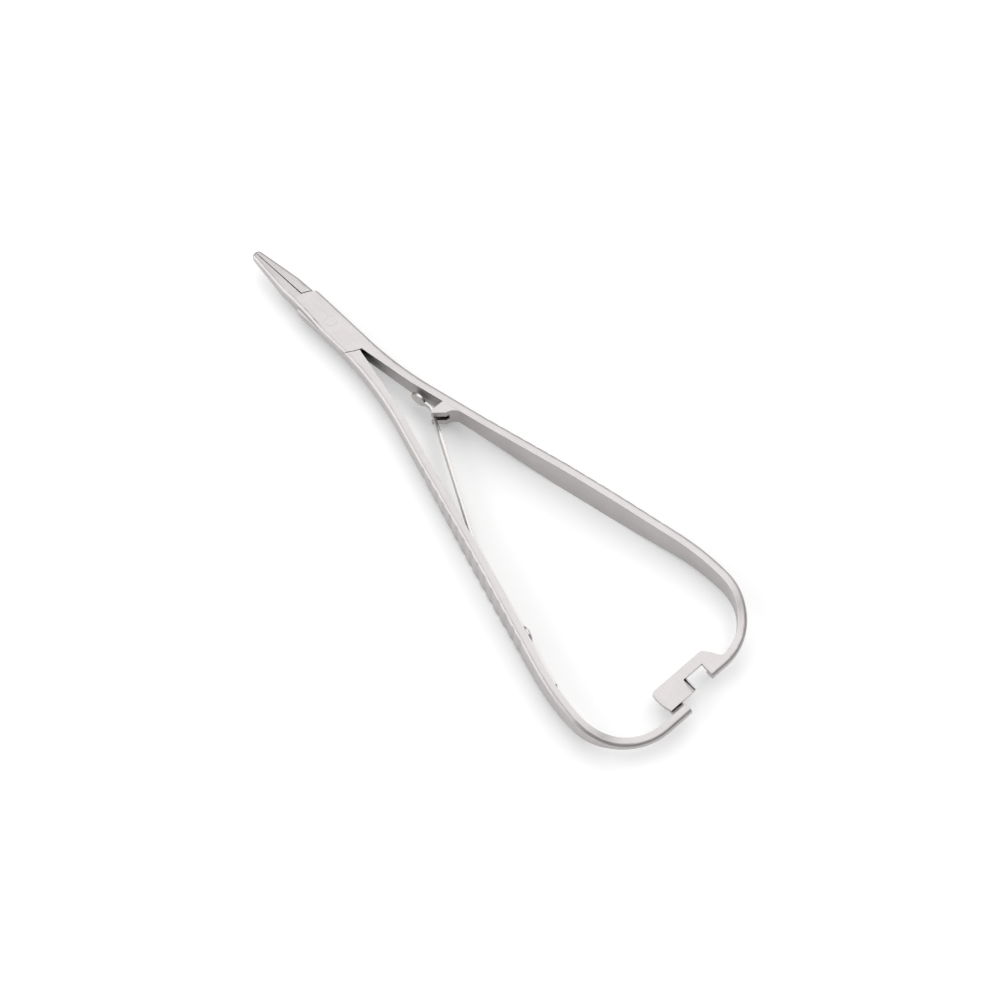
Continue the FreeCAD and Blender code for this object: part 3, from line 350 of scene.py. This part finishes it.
def leaf_stations():
    """Runs with a row of points across the leaf, closer at the tail and round the disc."""
    centre, radius = LEAF_DISC
    disc_start = centre - math.sqrt(radius ** 2 - LEAF_NECK_HALF_HEIGHT ** 2)
    tail = LEAF_ROUTE[0][0]
    corner = [tail + LEAF_TAIL_CORNER * (1 - math.cos(math.pi / 2 * step / LEAF_TAIL_STEPS))
              for step in range(LEAF_TAIL_STEPS + 1)]
    body = [corner[-1] + (disc_start - corner[-1]) * step / LEAF_BODY_STEPS
            for step in range(1, LEAF_BODY_STEPS + 1)]
    start = math.acos((disc_start - centre) / radius)
    disc = [centre + radius * math.cos(start * (1 - step / LEAF_DISC_STEPS))
            for step in range(1, LEAF_DISC_STEPS)]
    return corner + body + disc


def flat_leaf():
    """The leaf as it is stamped: a flat strip with a round tail, a neck and a disc."""
    shape = bmesh.new()
    half = LEAF_THICKNESS / 2
    sides = []
    for offset in (half, -half):
        sides.append([[shape.verts.new((run, offset, leaf_half_height(run) * (
            2 * row / LEAF_ROWS - 1))) for row in range(LEAF_ROWS + 1)]
            for run in leaf_stations()])
    front, back = sides
    last = len(front) - 1
    for i in range(last):
        for j in range(LEAF_ROWS):
            shape.faces.new((front[i][j], front[i + 1][j], front[i + 1][j + 1], front[i][j + 1]))
            shape.faces.new((back[i][j], back[i][j + 1], back[i + 1][j + 1], back[i + 1][j]))
        shape.faces.new((front[i][0], back[i][0], back[i + 1][0], front[i + 1][0]))
        shape.faces.new((front[i][-1], front[i + 1][-1], back[i + 1][-1], back[i][-1]))
    for j in range(LEAF_ROWS):
        shape.faces.new((front[0][j], front[0][j + 1], back[0][j + 1], back[0][j]))
        shape.faces.new((front[last][j], back[last][j], back[last][j + 1], front[last][j + 1]))
    bmesh.ops.recalc_face_normals(shape, faces=shape.faces)
    mesh = bpy.data.meshes.new("leaf")
    shape.to_mesh(mesh)
    shape.free()
    return mesh


def punch(mesh, run, radius, depth):
    """Punches a round hole through the flat leaf and breaks its edges."""
    blank = bpy.data.objects.new("leaf", mesh)
    cutter_shape = bmesh.new()
    bmesh.ops.create_cone(cutter_shape, cap_ends=True, segments=LEAF_HOLE_SIDES,
                          radius1=radius, radius2=radius, depth=depth)
    for vertex in cutter_shape.verts:
        x, y, z = vertex.co
        vertex.co = (run + x * math.cos(STRAP_ANGLE), z, y)
    bmesh.ops.recalc_face_normals(cutter_shape, faces=cutter_shape.faces)
    cutter = bpy.data.objects.new("cutter", bpy.data.meshes.new("cutter"))
    cutter_shape.to_mesh(cutter.data)
    cutter_shape.free()
    for item in (blank, cutter):
        bpy.context.scene.collection.objects.link(item)
    hole = blank.modifiers.new("hole", "BOOLEAN")
    hole.object = cutter
    hole.solver = "EXACT"
    edges = blank.modifiers.new("edges", "BEVEL")
    edges.width = LEAF_EDGE
    edges.segments = 2
    edges.limit_method = "ANGLE"
    edges.angle_limit = LEAF_EDGE_ANGLE
    bpy.context.view_layer.update()
    cut = bpy.data.meshes.new_from_object(
        blank.evaluated_get(bpy.context.evaluated_depsgraph_get()))
    for item in (blank, cutter):
        bpy.data.objects.remove(item)
    return cut


leaf_mesh = punch(flat_leaf(), *LEAF_HOLE, 4 * LEAF_THICKNESS)
flat_place = leaf_mesh.attributes.new("flat_place", "FLOAT_VECTOR", "POINT")
leaf_line = bent_line(LEAF_ROUTE, LEAF_BENDS)
for number, vertex in enumerate(leaf_mesh.vertices):
    flat_place.data[number].vector = vertex.co
    run, off, up = vertex.co
    height, heading = on_line(leaf_line, run)
    vertex.co = LEAF_ORIGIN + Vector((
        run - math.sin(heading) * off, height + math.cos(heading) * off, up)) * MILLIMETRE
leaf_mesh.shade_smooth()
leaf_mesh.set_sharp_from_angle(angle=LEAF_SHARP_ANGLE)
leaf = bpy.data.objects.new("leaf_spring_strip", leaf_mesh)
bpy.context.scene.collection.objects.link(leaf)


def rolled_steel(name):
    """Bright spring strip: fine rolling lines along its length, with a little blasting."""
    finish = Finish(name)
    flat = finish.node("ShaderNodeAttribute", {"attribute_name": "flat_place"}, output=1)
    along = finish.node(
        "ShaderNodeMapping", None, {"Vector": flat, "Scale": (ROLLING_STRETCH, 1, 1)})
    lines = finish.noise(along, ROLLING_PER_MILLIMETRE, detail=4.0, roughness=0.6)
    clouds = finish.noise(flat, LEAF_CLOUDS_PER_MILLIMETRE)
    beads = finish.noise(flat, LEAF_BEADS_PER_MILLIMETRE, detail=1.0)
    wear = finish.edge_wear()
    darker, lighter = LEAF_TONES
    ground = finish.blend_colours(
        finish.ramp(lines * 0.6 + clouds * 0.4, *LEAF_TONE_SPAN),
        tone_of(LEAF_STEEL, darker), tone_of(LEAF_STEEL, lighter))
    colour = finish.blend_colours(wear, ground, STEEL_WORN)
    roughness = LEAF_ROUGHNESS - 0.08 * wear + (lines - 0.5) * 0.2
    return finish.metal(colour, roughness, lines * 0.7 + beads * 0.3, LEAF_RELIEF)


leaf.data.materials.clear()
leaf.data.materials.append(rolled_steel("leaf_steel"))
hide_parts("leaf_spring")
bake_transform(leaf)

# Spring screw: a short turned screw with a domed, slotted head. It holds the leaf on the
# inner side of the crossing half's strap, and its head is left bright from the lathe.
SCREW_STEEL = (0.5, 0.483, 0.482)
SCREW_ROUGHNESS = 0.28
SCREW_RELIEF = 0.000012
screw_low, screw_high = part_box("spring_screw")
screw_axis = Vector((-math.sin(STRAP_ANGLE), -math.cos(STRAP_ANGLE), 0))
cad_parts["spring_screw"].material_slots[0].material = turned_steel(
    "screw_steel", SCREW_STEEL, (screw_low + screw_high) / 2, screw_axis,
    SCREW_ROUGHNESS, SCREW_RELIEF)

# Table: a wide white sheet under the instrument. A large soft box hangs above and beyond
# it, a smaller and brighter panel stands to its left, and the room all round is dim.
FLOOR_RADIUS = 4.0
FLOOR_SIDES = 96
FLOOR_COLOUR = (0.86, 0.86, 0.86, 1)
FLOOR_GLOW = 0.215
FLOOR_ROUGHNESS = 0.8
FLOOR_SHINE = 0.1
ROOM_LIGHT = 0.39
SOFT_BOX = {"size": 1.7, "place": (0.25, -0.5, 1.15), "radiance": 1.54}
SIDE_PANEL = {"size": 1.4, "place": (0.75, 1.0, 0.65), "radiance": 1.9}

floor_shape = bmesh.new()
bmesh.ops.create_circle(
    floor_shape, cap_ends=True, segments=FLOOR_SIDES, radius=FLOOR_RADIUS)
floor = bpy.data.objects.new("table", bpy.data.meshes.new("table"))
floor_shape.to_mesh(floor.data)
floor_shape.free()
bpy.context.scene.collection.objects.link(floor)
table_finish = Finish("table")
table_shader = table_finish.node("ShaderNodeBsdfPrincipled", None, {
    "Base Color": FLOOR_COLOUR, "Roughness": FLOOR_ROUGHNESS,
    "Specular IOR Level": FLOOR_SHINE,
    "Emission Color": (1, 1, 1, 1), "Emission Strength": FLOOR_GLOW,
})
table_finish.node("ShaderNodeOutputMaterial", None, {"Surface": table_shader})
floor.data.materials.append(table_finish.material)

room = bpy.data.worlds.new("room")
room.use_nodes = True
room.node_tree.nodes["Background"].inputs["Color"].default_value = (1, 1, 1, 1)
room.node_tree.nodes["Background"].inputs["Strength"].default_value = ROOM_LIGHT
bpy.context.scene.world = room


def studio_light(name, size, place, radiance):
    """Square panel of even light, turned to the instrument."""
    light = bpy.data.objects.new(name, bpy.data.lights.new(name, "AREA"))
    light.data.shape = "SQUARE"
    light.data.size = size
    light.data.energy = radiance * math.pi * size ** 2
    light.location = VIEW_TARGET + Vector(place)
    light.rotation_mode = "QUATERNION"
    light.rotation_quaternion = (-Vector(place)).to_track_quat("-Z", "Y")
    bpy.context.scene.collection.objects.link(light)


studio_light("soft_box", **SOFT_BOX)
studio_light("side_panel", **SIDE_PANEL)
bpy.context.scene.view_settings.view_transform = "Standard"

# The scene is brought up to date.
bpy.context.view_layer.update()
